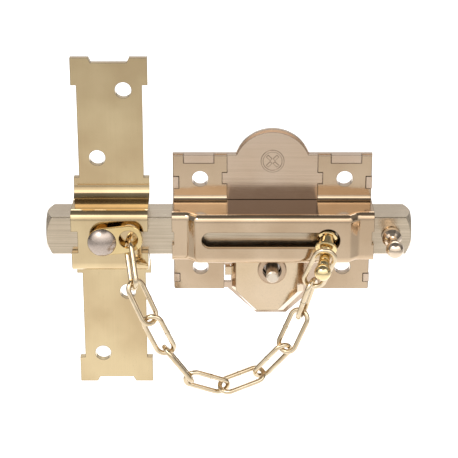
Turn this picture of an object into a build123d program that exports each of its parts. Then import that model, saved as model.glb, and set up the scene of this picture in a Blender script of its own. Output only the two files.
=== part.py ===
from build123d import *
import math
import os

# Door chain guard with a square bolt. Millimetres.
# X runs along the bolt bar, Y goes into the door, Z is up. The origin is the centre of
# the base plate's back face, which lies on the door, so the part reaches towards -Y.

# Base plate and its sheet
SHEET = 2.0
BODY_W = 80.0
BODY_H = 58.0
DOME_R = 15.6
DOME_Z = 23.6
SHIELD_TOP_W = 38.2
SHIELD_TIP_W = 12.4
SHIELD_Z = -40.2
SCREW_D = 6.5
SCREW_DX = 58.0
SCREW_DZ = 38.0
TONGUE_X = 23.5
TONGUE_W = 12.0
TONGUE_DEEP = 3.3
TONGUE_SIDE_DEEP = 2.4
TONGUE_SIDES = ((15.0, 20.0), (-25.5, -22.0))
TONGUE_GAP = 0.16
TONGUE_PROUD = 0.25
WINDOW_X = (-19.4, -16.6)
WINDOW_Z = (-26.6, -19.0)

# Bar and the cover bent round it
BAR = 15.7
BAR_BACK = -2.4
BAR_LEFT = -90.0
BAR_RIGHT = 55.0
BAR_TIP_R = 7.5
BAR_TAPER = 5.4
TRAVEL = 48.0
LEG_OUT = 10.2
END_FRONT = -20.5
MID_FRONT = -23.7
STEP_IN = 30.5
STEP_OUT = 34.0
FLANGE_H = 28.7
FLANGE_W = 79.4
MIDDLE = 18.2
LOW_MIDDLE = 19.4
EAR = 20.1
EAR_Z = (17.0, 21.6)
SLOT_W = 6.7
SLOT_LEFT = -28.2
KEY_X = 21.6
KEY_R = 4.8
KNOB_X = 47.0
STOP_X = 20.0
STOP_R = 1.5
RING_Z = 26.5

# Pinion, spindle and housing
MODULE = 1.0
TEETH = 20
PITCH_R = MODULE * TEETH / 2
BACKLASH = 0.012
PINION_Z = -16.85
PINION_Y0 = -7.4
PINION_Y1 = -2.5
SPINDLE_R = 2.5
SPINDLE_TIP = -21.0
HOUSING_FRONT = -13.0
HOUSING_SKIRT = -7.0
HOUSING_T = 1.5
HOUSING_LEFT = -16.2
HOUSING_RIGHT = 13.1
HOUSING_TOP = -10.3
BUSH_R = 3.85
COLLAR_R = 5.85
COLLAR_HOLE = 3.75
PLUNGER_X = -9.0
PLUNGER_Y = -9.6
CLIP_Y = (-8.55, -7.95)

# Keeper strip
KEEP_T = 3.0
KEEP_X = -64.6
KEEP_Z = -1.5
KEEP_H = 140.0
KEEP_W = 26.0
KEEP_WIDE = 30.4
KEEP_FRONT = -21.5
KEEP_LEG = 12.7
KEEP_SHOULDER = 20.7
KEEP_END = 11.0
KEEP_ROOT_BEND = 6.3
KEEP_FRONT_BEND = 2.2
BITE_DEEP = 2.6
BITE_H = 4.5
KEEP_HOLE_DX = 5.5
KEEP_HOLES = ((57.0, 1), (29.0, -1), (-29.0, 1), (-57.0, -1))

# Rivet and anchor plate
RIVET_X = -67.3
RIVET_Z = 0.0
RIVET_R = 5.65
ANCHOR_Y0 = -25.6
ANCHOR_Y1 = -24.2
ANCHOR_REACH = 10.5
ANCHOR_TILT = 7.0
ANCHOR_HOLE_R = 3.75
ANCHOR_HALF = 5.6
RIVET_CROWN = 2.9
RIVET_HOLE_R = 2.5
RIVET_TAIL_R = 4.0
RIVET_TAIL_T = 0.2

# Chain: each pair is a link's heading in the XZ plane and its lean towards the viewer
WIRE_R = 1.0
LINK_LONG = 20.6
LINK_WIDE = 9.2
LAST_LINK_WIDE = 10.0
HANG = 2.85
NECK_GAP = 2.3
PITCH = 15.8
HEADINGS = (
    (-79.5, 35.9), (-65.9, 5.9), (-67.3, -9.3), (-55.3, -6.4), (-25.7, -17.3),
    (16.4, -13.7), (50.0, 5.4), (66.7, -3.7), (75.0, 13.3), (69.8, 15.9),
)
ROLLS = (70, -36, 18, -90, 36, -42, 48, -18, 72, 0)

# Retaining stud
STUD_DOWN = 30.0
STUD_LEFT = 10.0
STUD_NECK = 10.2
STUD_BALL = 17.2


def slab(x0, x1, y0, y1, z0, z1):
    """A block between two corners."""
    middle = ((x0 + x1) / 2, (y0 + y1) / 2, (z0 + z1) / 2)
    return Pos(*middle) * Box(abs(x1 - x0), abs(y1 - y0), abs(z1 - z0))


def peg(x, z, radius, y0, y1):
    """A round bar along Y."""
    return Pos(x, (y0 + y1) / 2, z) * Rot(90, 0, 0) * Cylinder(radius, abs(y1 - y0))


def plate(points, y0, y1):
    """A flat outline in X and Z, given the thickness from y0 to y1."""
    outline = make_face(Polyline(*points, close=True))
    front = min(y0, y1)
    solid = extrude(Plane.XZ.offset(-front) * outline, -abs(y1 - y0))
    return solid


def turned(profile, place):
    """A solid turned about an axis: profile pairs are height along it and radius."""
    points = [(0, profile[0][0])] + [(r, h) for h, r in profile] + [(0, profile[-1][0])]
    face = make_face(Polyline(*points, close=True))
    return place * revolve(Plane.XZ * face, Axis.Z)


def save(name, shape):
    shape.label = name
    export_step(shape, f"parts/{name}.step")


def screw_places():
    return [(sx * SCREW_DX / 2, sz * SCREW_DZ / 2) for sx in (-1, 1) for sz in (-1, 1)]


# Lock body ------------------------------------------------------------------

def tongue_places(grow):
    """Corners of the plate's four folded tongues, or of their notches when grown."""
    top = BODY_H / 2
    edge = BODY_W / 2
    places = []
    for side in (-1, 1):
        near = side * (TONGUE_X - grow)
        far = side * (TONGUE_X + TONGUE_W + grow)
        places.append((near, far, top - TONGUE_DEEP - grow, top))
        for low, high in TONGUE_SIDES:
            places.append((side * (edge - TONGUE_SIDE_DEEP - grow), side * edge, low - grow, high + grow))
    return places


def base_plate():
    body = slab(-BODY_W / 2, BODY_W / 2, -SHEET, 0, -BODY_H / 2, BODY_H / 2)
    body += peg(0, DOME_Z, DOME_R, -SHEET, 0)
    low = -BODY_H / 2 + 1
    shield = [
        (-SHIELD_TOP_W / 2, low),
        (-SHIELD_TIP_W / 2, SHIELD_Z),
        (SHIELD_TIP_W / 2, SHIELD_Z),
        (SHIELD_TOP_W / 2, low),
    ]
    body += plate(shield, -SHEET, 0)
    for x0, x1, z0, z1 in tongue_places(0):
        body += slab(x0, x1, -2 * SHEET - TONGUE_PROUD, -SHEET, z0, z1)
    for x, z in screw_places():
        body -= peg(x, z, SCREW_D / 2, -SHEET - 1, 1)
    body -= slab(*WINDOW_X, -SHEET - 1, 1, *WINDOW_Z)
    body -= peg(0, PINION_Z, BUSH_R + 0.05, -SHEET - 1, 1)
    return body


def hat_outline(inset):
    """The cover's lengthwise outline, with its raised middle, in X and Y."""
    front = END_FRONT + inset
    raised = MID_FRONT + inset
    lean = 0.4 * inset
    right = [
        (BODY_W / 2, 0),
        (BODY_W / 2, front),
        (STEP_OUT - lean, front),
        (STEP_IN - lean, raised),
    ]
    left = [(-x, y) for x, y in reversed(right)]
    outline = make_face(Polyline(*right, *left, close=True))
    corners = [c for c in outline.vertices() if abs(c.X) < BODY_W / 2 - 1]
    return fillet(corners, 2.5)


def hat_block(half, inset, bend):
    """The hat's full block, rounded along its two long front edges."""
    block = extrude(Plane.XY.offset(-half) * hat_outline(inset), 2 * half)
    reach = [e for e in block.edges() if abs(abs(e.center().Z) - half) < 0.01]
    front = [e for e in reach if e.center().Y < END_FRONT + 3 and abs(e.center().X) < 39.9]
    return fillet(front, bend)


def cover_flange(side):
    """One fixing flange, open in the middle, notched for tongues and ears."""
    half = FLANGE_W / 2
    flange = slab(-half, half, -2 * SHEET, -SHEET, side * (LEG_OUT - SHEET), side * FLANGE_H)
    gap = MIDDLE if side > 0 else LOW_MIDDLE
    flange -= slab(-gap, gap, -9, 0, side * (LEG_OUT + 0.01), side * BODY_H)
    for x0, x1, z0, z1 in tongue_places(TONGUE_GAP):
        flange -= slab(x0, x1, -9, 0, z0, z1)
    for edge in (-1, 1):
        flange -= slab(edge * 17, edge * (EAR + 0.1), -9, 0, EAR_Z[0] - 0.2, EAR_Z[1] + 0.2)
    return flange


def bend_fill(side, edge):
    """The rounded root between a leg and its flange."""
    radius = 2.0
    near = edge * (MIDDLE if side > 0 else LOW_MIDDLE)
    far = edge * FLANGE_W / 2
    face = -2 * SHEET
    z = side * (LEG_OUT + radius)
    root = slab(near, far, face - radius, face + 0.01, side * (LEG_OUT - 0.5), z)
    scoop = Pos(0, face - radius, z) * Rot(0, 90, 0) * Cylinder(radius, 2 * BODY_W)
    return root - scoop


def bar_cover():
    cover = hat_block(LEG_OUT, 0, 2.8)
    cover -= slab(-50, 50, -SHEET, 5, -20, 20)
    cover += cover_flange(1) + cover_flange(-1)
    for side in (-1, 1):
        for edge in (-1, 1):
            cover += bend_fill(side, edge)
    cover -= hat_block(LEG_OUT - SHEET, SHEET, 0.9)
    cover -= slab(-50, 50, END_FRONT + SHEET, 5, -LEG_OUT + SHEET, LEG_OUT - SHEET)
    for x, z in screw_places():
        cover -= peg(x, z, SCREW_D / 2, -9, 1)
    r = SLOT_W / 2
    cover -= peg(SLOT_LEFT + r, 0, r, MID_FRONT - 1, MID_FRONT + 3)
    cover -= slab(SLOT_LEFT + r, KEY_X, MID_FRONT - 1, MID_FRONT + 3, -r, r)
    cover -= peg(KEY_X, 0, KEY_R, MID_FRONT - 1, MID_FRONT + 3)
    cover -= slab(-11.6, 11.6, -12.0, 5, -LEG_OUT - 1, -LEG_OUT + SHEET + 1)
    for edge in (-1, 1):
        cover -= slab(edge * 39.2, edge * 42, END_FRONT - 1, END_FRONT + 3, -3.0, 2.5)
    return cover


def dome_plate():
    """Nameless badge plate beside the bar cover, with ears keyed into the flanges."""
    low = LEG_OUT + 0.1
    body = slab(-MIDDLE + 0.1, MIDDLE - 0.1, -2 * SHEET, -SHEET - 0.02, low, BODY_H / 2)
    cap = peg(0, DOME_Z - 0.6, DOME_R - 0.1, -2 * SHEET, -SHEET - 0.02)
    body += cap - slab(-40, 40, -9, 0, -40, BODY_H / 2 - 4)
    for side in (-1, 1):
        body += slab(side * 17, side * EAR, -2 * SHEET, -SHEET - 0.02, *EAR_Z)
    return body + ornament()


def ornament():
    """A low raised ring with four leaves."""
    face = -2 * SHEET
    mark = peg(0, RING_Z, 4.6, face - 0.25, face + 0.2) - peg(0, RING_Z, 3.8, face - 1, face + 1)
    for turn in range(4):
        leaf = Pos(0, face, RING_Z) * Rot(0, 45 + 90 * turn, 0) * Pos(0, 0, 1.9)
        mark += leaf * Box(1.1, 0.5, 2.2)
    return mark


def housing_ring(grow, front):
    """The housing's outline: skirt points and matching front points, shrunk by grow."""
    left, right, top = HOUSING_LEFT + grow, HOUSING_RIGHT - grow, HOUSING_TOP
    chin_left, chin_right = 0.5 * grow - 7.2, 5.0 - 0.5 * grow
    jaw_left, jaw_right, low = 0.4 * grow - 27.0, 0.4 * grow - 28.5, grow - 37.0
    if front:
        left, right = left + 1.6, right - 2.8
        chin_left, chin_right = chin_left + 1.2, chin_right - 2.6
        jaw_left, jaw_right, low = jaw_left + 1.0, jaw_right + 2.1, low + 2.5
    return [
        (left, top),
        (left, jaw_left),
        (chin_left, low),
        (chin_right, low),
        (right, jaw_right),
        (right, top),
    ]


def housing_block(grow, front_y):
    skirt = make_face(Polyline(*housing_ring(grow, False), close=True))
    face = make_face(Polyline(*housing_ring(grow, True), close=True))
    lower = plate(housing_ring(grow, False), HOUSING_SKIRT, -SHEET - 0.02)
    upper = loft([Plane.XZ.offset(-HOUSING_SKIRT) * skirt, Plane.XZ.offset(-front_y) * face])
    return lower + upper


def pinion_housing():
    shell = housing_block(0, HOUSING_FRONT)
    shell -= housing_block(HOUSING_T, HOUSING_FRONT + HOUSING_T)
    shell -= peg(0, PINION_Z, COLLAR_R - 0.8, HOUSING_FRONT - 1, HOUSING_FRONT + 3)
    return shell + housing_tab()


def housing_tab():
    """The small ear that hooks the housing into the base plate's window."""
    out = WINDOW_X[0] + 0.4
    high = WINDOW_Z[1] - 0.3
    low = high - 3.6
    arm = slab(out, HOUSING_LEFT + 0.5, -SHEET - 1.5, -SHEET - 0.02, low, high)
    hook = slab(out, WINDOW_X[1] - 0.3, -SHEET - 0.5, -0.4, low, high)
    return arm + hook


def spindle_collar():
    """Turned ring pressed into the housing round the spindle."""
    ring = peg(0, PINION_Z, COLLAR_R, HOUSING_FRONT - 0.8, HOUSING_FRONT)
    ring = chamfer(ring.edges().sort_by(Axis.Y)[0], 0.35)
    ring += peg(0, PINION_Z, COLLAR_R - 0.8, HOUSING_FRONT, HOUSING_FRONT + 3)
    return ring - peg(0, PINION_Z, COLLAR_HOLE, HOUSING_FRONT - 2, HOUSING_FRONT + 4)


# Pinion drive -----------------------------------------------------------------

def flank_angle(radius):
    """Half the tooth's width at a radius, as an angle, on an involute flank."""
    pressure = math.radians(20)
    base = PITCH_R * math.cos(pressure)
    here = math.acos(min(1.0, base / radius))
    rolled = math.tan(here) - here
    at_pitch = math.tan(pressure) - pressure
    return math.pi / (2 * TEETH) - BACKLASH + at_pitch - rolled


def drive_pinion():
    root = PITCH_R - 1.25 * MODULE
    tip = PITCH_R + 0.95 * MODULE
    steps = [root - 0.3] + [9.4 + (tip - 9.4) * i / 4 for i in range(5)]
    right = [(r * math.sin(flank_angle(r)), r * math.cos(flank_angle(r))) for r in steps]
    left = [(-x, z) for x, z in reversed(right)]
    tooth = plate(right + left, PINION_Y0, PINION_Y1)
    wheel = peg(0, 0, root, PINION_Y0, PINION_Y1)
    wheel = wheel.fuse(*[Rot(0, 360 * i / TEETH, 0) * tooth for i in range(TEETH)])
    wheel -= peg(0, 0, SPINDLE_R, -20, 5)
    return Pos(0, 0, PINION_Z) * wheel


def drive_spindle():
    """Shaft with a cross slot at the back for the outside cylinder's tail."""
    shaft = peg(0, PINION_Z, SPINDLE_R, SPINDLE_TIP, -0.2)
    shaft = chamfer(shaft.edges().sort_by(Axis.Y)[0], 0.6)
    shaft -= slab(-0.6, 0.6, -2.0, 1, PINION_Z - 4, PINION_Z + 4)
    groove = peg(0, PINION_Z, SPINDLE_R + 1, CLIP_Y[0] - 0.05, CLIP_Y[1] + 0.05)
    groove -= peg(0, PINION_Z, 2.1, -9, -7)
    return shaft - groove


def spindle_circlip():
    clip = peg(0, PINION_Z, 3.6, *CLIP_Y) - peg(0, PINION_Z, 2.15, -9, -7)
    return clip - slab(-1.4, 1.4, -10, -6, PINION_Z - 5, PINION_Z - 1.0)


def rear_bush():
    bush = peg(0, PINION_Z, BUSH_R, -SHEET, -0.05)
    return bush - peg(0, PINION_Z, SPINDLE_R + 0.05, -5, 3)


def friction_plunger():
    """Blunt pin that drags on the underside of the bar."""
    top = -BAR / 2 - 0.06
    pin = Pos(PLUNGER_X, PLUNGER_Y, top - 3.25) * Cylinder(1.2, 6.5)
    return fillet(pin.edges().sort_by(Axis.Z)[-1], 0.5)


def plunger_sleeve():
    low = LEG_OUT * -1 - 10.0
    sleeve = Pos(PLUNGER_X, PLUNGER_Y, low + 5.3) * Cylinder(1.85, 8.8)
    sleeve -= Pos(PLUNGER_X, PLUNGER_Y, low + 6.5) * Cylinder(1.3, 9)
    return sleeve


def plunger_spring():
    turns = Helix(pitch=0.8, height=3.2, radius=0.85)
    path = Pos(PLUNGER_X, PLUNGER_Y, -17.95) * turns
    start = path @ 0
    wire = Plane(origin=start, z_dir=path % 0) * Circle(0.2)
    return sweep(wire, path=path, is_frenet=True)


# Bolt bar ----------------------------------------------------------------------

def rack_gap(x):
    """One trapezoid gap between rack teeth, cut from below."""
    pitch_line = PINION_Z + PITCH_R
    deep = pitch_line + 1.25 * MODULE
    low = -BAR / 2 - 0.5
    quarter = MODULE * math.pi / 4 + 0.05
    slope = math.tan(math.radians(20))
    points = [
        (x - quarter + slope * (deep - pitch_line), deep),
        (x + quarter - slope * (deep - pitch_line), deep),
        (x + quarter + slope * (pitch_line - low), low),
        (x - quarter - slope * (pitch_line - low), low),
    ]
    return plate(points, PINION_Y0 - 0.3, 0)


def turned_ends():
    """Round envelope whose tapered ends give the square bar its curved end edges."""
    length = BAR_RIGHT - BAR_LEFT
    profile = [(0, BAR_TIP_R), (BAR_TAPER, BAR), (length - BAR_TAPER, BAR), (length, BAR_TIP_R)]
    return turned(profile, Pos(BAR_LEFT, BAR_BACK - BAR / 2, 0) * Rot(0, 90, 0))


def bolt_bar():
    front = BAR_BACK - BAR
    bar = slab(BAR_LEFT, BAR_RIGHT, front, BAR_BACK, -BAR / 2, BAR / 2)
    long_edges = bar.edges().filter_by(Axis.X)
    bar = chamfer(long_edges, 0.35)
    bar &= turned_ends()
    gaps = int((TRAVEL + 4 * math.pi) / (MODULE * math.pi)) + 1
    for i in range(2 - gaps, 3):
        bar -= rack_gap(i * MODULE * math.pi)
    room = STOP_R + 0.3
    bar -= slab(STOP_X - TRAVEL - room, STOP_X + room, BAR_BACK - room, 5, -room, room)
    bar -= peg(KNOB_X, 0, 2.0, BAR_BACK - BAR - 1, BAR_BACK - BAR + 6)
    return bar


def travel_stop_pin():
    return peg(STOP_X, 0, STOP_R, BAR_BACK - STOP_R, -SHEET)


def bar_knob():
    """Pull knob: threaded tail, bulb, neck and ball, standing out from the bar."""
    face = BAR_BACK - BAR
    place = Pos(KNOB_X, face, 0) * Rot(90, 0, 0)
    body = turned(
        [(-5.8, 1.95), (0.02, 1.95), (0.02, 3.0), (0.8, 3.85), (3.2, 3.85), (4.6, 3.0),
         (5.6, 2.1), (7.2, 1.8), (9.0, 1.8), (12.5, 2.4)], place)
    ball = Pos(KNOB_X, face - 14.8, 0) * Sphere(3.5)
    return body + ball


# Keeper -------------------------------------------------------------------------

def keeper_strip(width):
    """The bent strip's section in Y and Z, given a width in X."""
    half = KEEP_T / 2
    back = -half
    front = KEEP_FRONT + half
    leg = KEEP_LEG - half
    tall = KEEP_H / 2
    path = FilletPolyline(
        (back, tall), (back, leg), (front, leg), (front, -leg), (back, -leg), (back, -tall),
        radius=[KEEP_ROOT_BEND, KEEP_FRONT_BEND, KEEP_FRONT_BEND, KEEP_ROOT_BEND])
    section = trace(path, KEEP_T)
    solid = extrude(Plane.YZ * section, width / 2, both=True)
    return Pos(KEEP_X, 0, KEEP_Z) * solid


def keeper_plate():
    strip = keeper_strip(KEEP_WIDE)
    narrow = (KEEP_WIDE - KEEP_W) / 2
    edge = KEEP_X - KEEP_WIDE / 2
    far = KEEP_X + KEEP_WIDE / 2
    for side in (-1, 1):
        near = KEEP_Z + side * KEEP_SHOULDER
        end = KEEP_Z + side * (KEEP_H / 2 - KEEP_END)
        strip -= slab(edge - 1, edge + narrow, -9, 3, near, end)
        strip -= slab(far - narrow, far + 1, -9, 3, near, end)
        tip = KEEP_Z + side * KEEP_H / 2
        notch = [
            (KEEP_X - 7, tip - side * 2),
            (KEEP_X + 7, tip - side * 2),
            (KEEP_X + 8.6, tip + side),
            (KEEP_X - 8.6, tip + side),
        ]
        strip -= plate(notch, -9, 3)
        bite = KEEP_X + side * (KEEP_WIDE / 2 - BITE_DEEP)
        strip -= slab(bite, KEEP_X + side * KEEP_WIDE, KEEP_FRONT - 1, KEEP_FRONT + 4,
                      KEEP_Z - BITE_H, KEEP_Z + BITE_H)
    for height, side in KEEP_HOLES:
        strip -= peg(KEEP_X + side * KEEP_HOLE_DX, KEEP_Z + height, SCREW_D / 2, -9, 3)
    strip -= peg(RIVET_X, RIVET_Z, RIVET_HOLE_R, KEEP_FRONT - 2, KEEP_FRONT + 5)
    return strip


def anchor_place():
    return Pos(RIVET_X, 0, RIVET_Z) * Rot(0, -ANCHOR_TILT, 0)


def anchor_plate():
    """Oblong tongue under the rivet head, with the first link's hole at its far end."""
    half = ANCHOR_HALF
    body = peg(0, 0, half, ANCHOR_Y0, ANCHOR_Y1) + peg(ANCHOR_REACH, 0, half, ANCHOR_Y0, ANCHOR_Y1)
    body += slab(0, ANCHOR_REACH, ANCHOR_Y0, ANCHOR_Y1, -half, half)
    body = chamfer(body.edges().filter_by(GeomType.CIRCLE), 0.25)
    body -= peg(ANCHOR_REACH, 0, ANCHOR_HOLE_R, -30, -20)
    body -= peg(0, 0, RIVET_HOLE_R + 0.05, -30, -20)
    return anchor_place() * body


def rivet_washer():
    ring = peg(RIVET_X, RIVET_Z, 4.4, ANCHOR_Y1 + 0.05, KEEP_FRONT)
    return ring - peg(RIVET_X, RIVET_Z, RIVET_HOLE_R, -30, -20)


def chain_rivet():
    """Domed rivet: low crown, shank and a flat upset head behind the strip."""
    under = ANCHOR_Y0 - 0.1
    ball_r = (RIVET_R ** 2 + RIVET_CROWN ** 2) / (2 * RIVET_CROWN)
    dome = Pos(RIVET_X, under - RIVET_CROWN + ball_r, RIVET_Z) * Sphere(ball_r)
    dome &= slab(RIVET_X - 8, RIVET_X + 8, under - RIVET_CROWN - 1, under, -8, 8)
    behind = KEEP_FRONT + KEEP_T
    shank = peg(RIVET_X, RIVET_Z, RIVET_HOLE_R - 0.02, under - 0.5, behind + 0.1)
    tail = peg(RIVET_X, RIVET_Z, RIVET_TAIL_R, behind + 0.02, behind + RIVET_TAIL_T)
    return dome + shank + tail


# Chain --------------------------------------------------------------------------

def heading(number):
    """Unit direction of a link from its heading and its lean."""
    turn, lean = (math.radians(a) for a in HEADINGS[number])
    return Vector(math.cos(lean) * math.cos(turn), -math.sin(lean), math.cos(lean) * math.sin(turn))


def chain_points():
    """The eleven places where one link hangs in the next."""
    tilt = math.radians(ANCHOR_TILT)
    hole = Vector(RIVET_X + ANCHOR_REACH * math.cos(tilt), 0, RIVET_Z + ANCHOR_REACH * math.sin(tilt))
    start = hole + Vector(0, (ANCHOR_Y0 + ANCHOR_Y1) / 2, -HANG)
    points = [start]
    for number in range(len(HEADINGS)):
        points.append(points[-1] + heading(number) * PITCH)
    return points


def is_last(number):
    return number == len(HEADINGS) - 1


def link_plane(number):
    """Local frame of a link: x along it, z square to its flat side."""
    along = heading(number)
    look = stud_axis() if is_last(number) else Vector(0, 0.934, -0.358)
    side = along.cross(look).normalized()
    back = along.cross(side).normalized()
    roll = math.radians(ROLLS[number])
    wide = side * math.cos(roll) + back * math.sin(roll)
    middle = chain_points()[number] + along * (PITCH / 2)
    return Plane(origin=middle, x_dir=along, z_dir=along.cross(wide))


def chain_link(number):
    """Oval of round wire, closed by a small butt weld on one straight side."""
    wide = LAST_LINK_WIDE if is_last(number) else LINK_WIDE
    straight = LINK_LONG - wide
    bend = wide / 2 - WIRE_R
    body = None
    for side in (-1, 1):
        half = Pos(side * straight / 2, 0, 0) * Rot(0, 0, -90 * side) * arc_tube(bend)
        leg = Pos(0, side * bend, 0) * Rot(0, 90, 0) * Cylinder(WIRE_R, straight)
        body = half + leg if body is None else body + half + leg
    weld = Pos(0, bend, 0) * Rot(0, 90, 0) * Cylinder(WIRE_R + 0.1, 0.8)
    body += weld
    return link_plane(number).location * body


def arc_tube(bend):
    """Half a ring of wire."""
    section = Plane.XZ * Pos(bend, 0) * Circle(WIRE_R)
    return revolve(section, Axis.Z, 180)


def stud_axis():
    down, left = math.radians(STUD_DOWN), math.radians(STUD_LEFT)
    return Vector(
        -math.sin(left) * math.cos(down), -math.cos(left) * math.cos(down), -math.sin(down))


def retaining_stud():
    """Turned spool that hooks behind the keyhole, with a neck for the chain and a ball."""
    axis = stud_axis()
    neck = chain_points()[-1] - heading(len(HEADINGS) - 1) * NECK_GAP
    foot = neck - axis * STUD_NECK
    place = Plane(origin=foot, z_dir=axis).location
    body = turned(
        [(-0.5, 3.6), (-0.25, 4.0), (0.4, 4.0), (0.65, 3.6), (0.9, 3.0), (4.4, 3.0),
         (4.6, 3.9), (4.9, 4.3), (5.7, 4.3), (6.0, 3.9), (6.6, 2.6), (8.4, 2.1),
         (12.2, 2.1), (13.6, 2.5), (15.0, 2.6)], place)
    ball = place * Pos(0, 0, STUD_BALL) * Sphere(3.3)
    return body + ball


def main():
    os.makedirs("parts", exist_ok=True)
    makers = [
        base_plate, bar_cover, dome_plate, pinion_housing, spindle_collar,
        drive_pinion, drive_spindle, spindle_circlip, rear_bush,
        friction_plunger, plunger_sleeve, plunger_spring,
        bolt_bar, travel_stop_pin, bar_knob,
        keeper_plate, anchor_plate, rivet_washer, chain_rivet, retaining_stud,
    ]
    for maker in makers:
        save(maker.__name__, maker())
    for number in range(len(HEADINGS)):
        save(f"link_{number + 1:02d}", chain_link(number))


main()
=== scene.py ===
import math

import bpy
from mathutils import Matrix, Vector


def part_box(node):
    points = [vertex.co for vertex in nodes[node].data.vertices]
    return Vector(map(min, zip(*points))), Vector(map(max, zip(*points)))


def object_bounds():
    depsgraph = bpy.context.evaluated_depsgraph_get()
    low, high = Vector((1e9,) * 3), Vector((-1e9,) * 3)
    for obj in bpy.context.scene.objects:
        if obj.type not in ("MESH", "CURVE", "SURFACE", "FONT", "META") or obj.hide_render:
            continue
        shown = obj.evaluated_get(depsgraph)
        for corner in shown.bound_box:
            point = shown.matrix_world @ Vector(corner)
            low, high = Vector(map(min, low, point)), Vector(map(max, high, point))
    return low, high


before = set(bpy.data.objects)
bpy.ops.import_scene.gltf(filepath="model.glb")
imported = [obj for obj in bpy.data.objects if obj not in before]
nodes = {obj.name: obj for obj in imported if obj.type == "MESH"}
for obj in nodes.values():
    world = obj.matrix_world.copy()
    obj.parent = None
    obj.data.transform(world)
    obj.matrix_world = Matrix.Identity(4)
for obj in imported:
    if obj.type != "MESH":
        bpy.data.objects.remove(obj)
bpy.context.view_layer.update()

MM = 0.001

# Camera, which aims left of the base plate's centre and a little below it
CAMERA_TILT = math.radians(21.0)
CAMERA_DISTANCE = 0.638
CAMERA_LENS = 123.0
CAMERA_SENSOR = 36.0
CAMERA_CLIP = 0.01
AIM_LEFT = 17.4 * MM
AIM_Y = -1.36 * MM
AIM_Z = -3.55 * MM

# Floor: its own glow grows from FLOOR_DIM_Y to FLOOR_BRIGHT_Y and ends at the sides
FLOOR_HALF = 9.0
FLOOR_DROP = 0.30
FLOOR_GREY = 0.78
FLOOR_ROUGH = 0.9
FLOOR_GLOSS = 0.1
FLOOR_DIM_Y = -1.5
FLOOR_BRIGHT_Y = 0.2
FLOOR_DIM = 0.06
FLOOR_BRIGHT = 0.78
FLOOR_EDGE_X = (0.45, 0.95)

# Studio brightness by one component of the direction: (component, brightness)
BRIGHTEST = 2.5
CEILING = [(-1, 0.02), (0.80, 0.05), (0.90, 0.16), (1, 0.20)]
WALL = [
    (-1, 0.60), (0.02, 0.70), (0.10, 1.25), (0.38, 1.30),
    (0.50, 2.20), (0.78, 2.30), (0.86, 0.20), (1, 0.05),
]
WALL_SPREAD = [(-1, 1.0), (-0.35, 0.95), (-0.10, 0.12), (0.40, 0.12), (0.80, 0.50), (1, 0.52)]
STUDIO_TINT = (1, 0.985, 0.965, 1)

# Panels: place, aim, width and height in metres, then power in watts
PANELS = {
    "key": ((-0.55, -0.75, 1.05), (-0.02, 0, 0), 0.5, 0.4, 4),
    "rim": ((0.1, 0.9, 0.9), (0, 0, 0), 1.2, 0.4, 3),
}

# Metal surface: noise scales in cycles per metre, and the part of each noise that shows
PATCH_BAND = (0.38, 0.62)
NOISE_BAND = (0.3, 0.7)
GRAIN_SCALE = 1800
GRAIN_SHADE = 0.55
PIT_SCALE = 1900
PIT_BAND = (0.73, 0.80)
PIT_AMOUNT = 0.25
PIT_SHADE = 0.25
SMEAR_SCALE = 90
SMEAR_SPREAD = (0.85, 1.2)
GRAIN_ROUGH = (-0.02, 0.05)
BUMP_DEPTH = 0.1 * MM
BEVEL_SAMPLES = 8
EDGE_ROUND = 0.15 * MM
EDGE_WIDTH = 0.5 * MM
EDGE_TURN = (0.84, 0.99)
EDGE_AMOUNT = 0.85
EDGE_SHADE = 0.20
ALONG_X = (0.010, 1, 1)
ALONG_Z = (1, 1, 0.012)

# Painted shade: a dark brown patch painted on the cover's upper leg under the dome plate, where shade
# and a dark reflection fall
PAINTED_SHADE_COLOR = (0.10, 0.055, 0.03)
PAINTED_SHADE_INSET = 2.0 * MM
PAINTED_SHADE_FADE = 0.4 * MM

# Metals: material name, main colour, darker colour, roughness, and what differs from plain
METALS = {
    "sheet": ("gilt_sheet", (0.68, 0.54, 0.42), (0.62, 0.47, 0.35), 0.15, {}),
    "cover": ("gilt_cover", (0.63, 0.485, 0.34), (0.53, 0.39, 0.26), 0.11, {}),
    "housing": ("gilt_housing", (0.74, 0.59, 0.42), (0.68, 0.52, 0.34), 0.12, {}),
    "dome": (
        "gilt_badge", (0.66, 0.52, 0.40), (0.62, 0.47, 0.34), 0.17,
        {"grain": ALONG_X, "grain_scale": 2600, "grain_tone": 0.20, "grain_bump": 0.10},
    ),
    "keeper": (
        "keeper_gilt", (0.69, 0.55, 0.33), (0.57, 0.43, 0.25), 0.07,
        {"grain": ALONG_Z, "grain_scale": 2600, "grain_tone": 0.06, "grain_bump": 0.02},
    ),
    "bar": (
        "drawn_bar", (0.66, 0.56, 0.43), (0.56, 0.46, 0.34), 0.20,
        {"grain": ALONG_X, "grain_scale": 2400, "grain_tone": 0.48, "grain_bump": 0.22},
    ),
    "knob": ("polished_gilt", (0.76, 0.64, 0.52), (0.68, 0.55, 0.42), 0.07, {}),
    "chain": ("chain_gilt", (0.72, 0.60, 0.43), (0.60, 0.48, 0.32), 0.10, {"patch": 160}),
    "brass": ("turned_brass", (0.80, 0.64, 0.36), (0.70, 0.51, 0.23), 0.07, {"grain_tone": 0.05}),
    "rivet": ("rivet_nickel", (0.48, 0.41, 0.36), (0.38, 0.30, 0.25), 0.24, {}),
    "collar": ("collar_bore", (0.60, 0.45, 0.32), (0.48, 0.34, 0.23), 0.28, {}),
    "spindle": ("spindle_steel", (0.80, 0.70, 0.58), (0.70, 0.60, 0.48), 0.35, {}),
    "steel": ("turned_steel", (0.62, 0.60, 0.58), (0.50, 0.48, 0.46), 0.20, {}),
}

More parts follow.
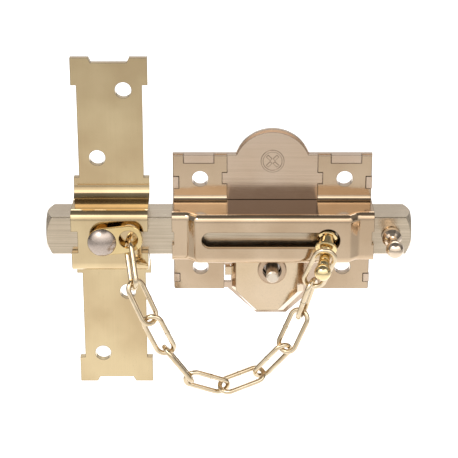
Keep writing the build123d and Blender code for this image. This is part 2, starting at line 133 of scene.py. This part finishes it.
# Which metal each node wears; links wear "chain" and every other node wears "steel"
LOOKS = {
    "base_plate": "sheet", "bar_cover": "cover", "dome_plate": "dome", "pinion_housing": "housing",
    "spindle_collar": "collar", "keeper_plate": "keeper", "bolt_bar": "bar", "bar_knob": "knob",
    "anchor_plate": "brass", "retaining_stud": "brass", "rivet_washer": "brass", "chain_rivet": "rivet",
    "drive_spindle": "spindle",
}


# Camera, floor and light ---------------------------------------------------------

def add_camera():
    """A long lens that looks down at the lock."""
    plate_low, plate_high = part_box("base_plate")
    centre_x = (plate_low[0] + plate_high[0]) / 2
    aim = Vector((centre_x - AIM_LEFT, AIM_Y, AIM_Z))
    data = bpy.data.cameras.new("camera")
    data.lens = CAMERA_LENS
    data.sensor_width = CAMERA_SENSOR
    data.clip_start = CAMERA_CLIP
    camera = bpy.data.objects.new("camera", data)
    bpy.context.scene.collection.objects.link(camera)
    turn = Matrix.Rotation(math.pi / 2 - CAMERA_TILT, 4, "X")
    back = turn.to_3x3() @ Vector((0, 0, CAMERA_DISTANCE))
    camera.matrix_world = Matrix.Translation(aim + back) @ turn
    bpy.context.scene.camera = camera


def add_floor():
    low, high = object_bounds()
    mesh = bpy.data.meshes.new("floor")
    size = FLOOR_HALF
    z = low[2] - FLOOR_DROP
    corners = [(-size, -size, z), (size, -size, z), (size, size, z), (-size, size, z)]
    mesh.from_pydata(corners, [], [(0, 1, 2, 3)])
    floor = bpy.data.objects.new("floor", mesh)
    bpy.context.scene.collection.objects.link(floor)
    mesh.materials.append(floor_material())


def floor_material():
    """Pale floor with a faint glow, brighter behind the object than in front of it."""
    material = bpy.data.materials.new("floor")
    n = Nodes(material)
    n.shader.inputs["Base Color"].default_value = (FLOOR_GREY, FLOOR_GREY, FLOOR_GREY, 1)
    n.shader.inputs["Roughness"].default_value = FLOOR_ROUGH
    n.shader.inputs["Specular IOR Level"].default_value = FLOOR_GLOSS
    n.shader.inputs["Emission Color"].default_value = (1, 1, 1, 1)
    split = n.split_place()
    glow = n.remap(split.outputs["Y"], (FLOOR_DIM_Y, FLOOR_BRIGHT_Y), (FLOOR_DIM, FLOOR_BRIGHT))
    side = n.remap(n.math("ABSOLUTE", split.outputs["X"]), FLOOR_EDGE_X, (1, 0))
    n.link(n.math("MULTIPLY", glow, side), n.shader.inputs["Emission Strength"])
    return material


def add_panel(name, place, aim, width, height, power):
    data = bpy.data.lights.new(name, "AREA")
    data.shape = "RECTANGLE"
    data.size = width
    data.size_y = height
    data.energy = power
    light = bpy.data.objects.new(name, data)
    light.location = place
    look = (Vector(aim) - Vector(place)).normalized()
    light.rotation_euler = look.to_track_quat("-Z", "Y").to_euler()
    bpy.context.scene.collection.objects.link(light)


def add_world():
    """A studio told by direction: dim above, a bright wall at -Y and a dimmer one at +Y."""
    world = bpy.data.worlds.new("studio")
    world.use_nodes = True
    bpy.context.scene.world = world
    tree = world.node_tree
    coords = tree.nodes.new("ShaderNodeTexCoord")
    split = tree.nodes.new("ShaderNodeSeparateXYZ")
    tree.links.new(coords.outputs["Generated"], split.inputs[0])
    ceiling = world_ramp(tree, split.outputs["Z"], CEILING)
    wall = world_ramp(tree, split.outputs["Z"], WALL)
    front = world_ramp(tree, split.outputs["Y"], WALL_SPREAD)
    facing = tree.nodes.new("ShaderNodeMath")
    facing.operation = "MULTIPLY"
    tree.links.new(wall, facing.inputs[0])
    tree.links.new(front, facing.inputs[1])
    total = tree.nodes.new("ShaderNodeMath")
    tree.links.new(ceiling, total.inputs[0])
    tree.links.new(facing.outputs[0], total.inputs[1])
    tree.links.new(total.outputs[0], tree.nodes["Background"].inputs["Strength"])
    tree.nodes["Background"].inputs["Color"].default_value = STUDIO_TINT


def world_ramp(tree, value, stops):
    """Strength along one component of the direction, which runs from -1 to 1."""
    curve = tree.nodes.new("ShaderNodeFloatCurve")
    spread = tree.nodes.new("ShaderNodeMapRange")
    spread.inputs["From Min"].default_value = -1.0
    tree.links.new(value, spread.inputs["Value"])
    tree.links.new(spread.outputs["Result"], curve.inputs["Value"])
    line = curve.mapping.curves[0]
    for place, height in stops[1:-1]:
        line.points.new((place + 1) / 2, height / BRIGHTEST)
    line.points[0].location = (0, stops[0][1] / BRIGHTEST)
    line.points[-1].location = (1, stops[-1][1] / BRIGHTEST)
    for point in line.points:
        point.handle_type = "VECTOR"
    curve.mapping.update()
    gain = tree.nodes.new("ShaderNodeMath")
    gain.operation = "MULTIPLY"
    gain.inputs[1].default_value = BRIGHTEST
    tree.links.new(curve.outputs[0], gain.inputs[0])
    return gain.outputs[0]


# Materials ------------------------------------------------------------------------

class Nodes:
    """Short helpers over one material's node tree."""

    def __init__(self, material):
        material.use_nodes = True
        self.tree = material.node_tree
        self.shader = self.tree.nodes["Principled BSDF"]
        self.coords = self.tree.nodes.new("ShaderNodeTexCoord")

    def add(self, kind):
        return self.tree.nodes.new(kind)

    def link(self, a, b):
        self.tree.links.new(a, b)

    def split_place(self):
        """The object's own X, Y and Z in metres."""
        split = self.add("ShaderNodeSeparateXYZ")
        self.link(self.coords.outputs["Object"], split.inputs[0])
        return split

    def noise(self, scale, detail, stretch=(1, 1, 1), rough=0.5):
        mapping = self.add("ShaderNodeMapping")
        mapping.inputs["Scale"].default_value = stretch
        self.link(self.coords.outputs["Object"], mapping.inputs["Vector"])
        noise = self.add("ShaderNodeTexNoise")
        noise.inputs["Scale"].default_value = scale
        noise.inputs["Detail"].default_value = detail
        noise.inputs["Roughness"].default_value = rough
        self.link(mapping.outputs["Vector"], noise.inputs["Vector"])
        return noise.outputs["Fac"]

    def remap(self, value, span, target):
        """The value's span, stretched onto the target span and held at its ends."""
        node = self.add("ShaderNodeMapRange")
        node.inputs["From Min"].default_value = span[0]
        node.inputs["From Max"].default_value = span[1]
        node.inputs["To Min"].default_value = target[0]
        node.inputs["To Max"].default_value = target[1]
        self.link(value, node.inputs["Value"])
        return node.outputs["Result"]

    def math(self, operation, *values):
        node = self.add("ShaderNodeMath")
        node.operation = operation
        for value, socket in zip(values, node.inputs):
            self.link(value, socket)
        return node.outputs[0]

    def bevel(self, radius):
        """The surface's normal as if its edges were rounded to this radius."""
        node = self.add("ShaderNodeBevel")
        node.samples = BEVEL_SAMPLES
        node.inputs["Radius"].default_value = radius
        return node.outputs["Normal"]

    def edge_mask(self, rounded):
        """EDGE_AMOUNT on a sharp edge, 0 on a flat: how far the rounded normal has turned."""
        geometry = self.add("ShaderNodeNewGeometry")
        dot = self.add("ShaderNodeVectorMath")
        dot.operation = "DOT_PRODUCT"
        self.link(geometry.outputs["Normal"], dot.inputs[0])
        self.link(rounded, dot.inputs[1])
        return self.remap(dot.outputs["Value"], EDGE_TURN, (EDGE_AMOUNT, 0))

    def mix(self, factor, first, second):
        node = self.add("ShaderNodeMix")
        node.data_type = "RGBA"
        self.link(factor, node.inputs["Factor"])
        for socket, value in (("A", first), ("B", second)):
            target = [s for s in node.inputs if s.name == socket and s.type == "RGBA"][0]
            if isinstance(value, tuple):
                target.default_value = (*value, 1)
            else:
                self.link(value, target)
        return [s for s in node.outputs if s.type == "RGBA"][0]


def darker(color, share):
    return tuple(c * share for c in color)


def plated(name, color, deep, rough, grain=(1, 1, 1), grain_scale=GRAIN_SCALE, grain_tone=0.1,
           grain_bump=0.03, patch=35):
    """Plated or polished metal: two-tone plating, drawn grain, pits, dark and softened edges."""
    material = bpy.data.materials.new(name)
    n = Nodes(material)
    n.shader.inputs["Metallic"].default_value = 1.0
    base = n.mix(n.remap(n.noise(patch, detail=3.0), PATCH_BAND, (0, 1)), color, deep)
    streak = n.noise(grain_scale, detail=4.0, stretch=grain, rough=0.6)
    base = n.mix(n.remap(streak, NOISE_BAND, (0, grain_tone)), base, darker(deep, GRAIN_SHADE))
    pits = n.remap(n.noise(PIT_SCALE, detail=1.0), PIT_BAND, (0, PIT_AMOUNT))
    base = n.mix(pits, base, darker(deep, PIT_SHADE))
    base = n.mix(n.edge_mask(n.bevel(EDGE_WIDTH)), base, darker(deep, EDGE_SHADE))
    n.link(base, n.shader.inputs["Base Color"])
    smear = n.noise(SMEAR_SCALE, detail=3.0, rough=0.65)
    soft = n.remap(smear, NOISE_BAND, (rough * SMEAR_SPREAD[0], rough * SMEAR_SPREAD[1]))
    n.link(n.math("ADD", soft, n.remap(streak, NOISE_BAND, GRAIN_ROUGH)), n.shader.inputs["Roughness"])
    bump = n.add("ShaderNodeBump")
    bump.inputs["Strength"].default_value = grain_bump
    bump.inputs["Distance"].default_value = BUMP_DEPTH
    n.link(streak, bump.inputs["Height"])
    n.link(n.bevel(EDGE_ROUND), bump.inputs["Normal"])
    n.link(bump.outputs["Normal"], n.shader.inputs["Normal"])
    return material


def paint_cover_shade(material):
    """Painted shade: dark brown painted on the cover's upper leg, across the dome plate's width, where
    shade falls under the dome plate.
    """
    n = Nodes(material)
    dome_low, dome_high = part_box("dome_plate")
    cover_low, cover_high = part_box("bar_cover")
    split = n.split_place()
    half = -dome_low[0] - PAINTED_SHADE_INSET
    inside = n.remap(n.math("ABSOLUTE", split.outputs["X"]), (half - PAINTED_SHADE_FADE, half), (1, 0))
    leg_z = (dome_low[2] - 2 * PAINTED_SHADE_FADE, dome_low[2] - PAINTED_SHADE_FADE)
    leg_y = (cover_low[1] + 2 * PAINTED_SHADE_FADE, cover_low[1] + 8 * PAINTED_SHADE_FADE)
    above = n.remap(split.outputs["Z"], leg_z, (0, 1))
    behind = n.remap(split.outputs["Y"], leg_y, (0, 1))
    # Painted shade mask: within the dome plate's width, above its lower edge, behind the cover's front
    painted_shade = n.math("MULTIPLY", n.math("MULTIPLY", inside, above), behind)
    color = n.shader.inputs["Base Color"]
    plain = color.links[0].from_socket
    n.link(n.mix(painted_shade, plain, PAINTED_SHADE_COLOR), color)


def make_materials():
    materials = {}
    for look, (name, color, deep, rough, options) in METALS.items():
        materials[look] = plated(name, color, deep, rough, **options)
    # Paint shade onto the cover's upper leg, under the dome plate
    paint_cover_shade(materials["cover"])
    return materials


def dress(materials):
    for name, item in nodes.items():
        look = "chain" if name.startswith("link_") else LOOKS.get(name, "steel")
        if not item.material_slots:
            item.data.materials.append(materials[look])
        for slot in item.material_slots:
            slot.link = "OBJECT"
            slot.material = materials[look]


add_camera()
add_floor()
add_world()
for panel_name, panel in PANELS.items():
    add_panel(panel_name, *panel)
bpy.context.scene.view_settings.view_transform = "Standard"
dress(make_materials())
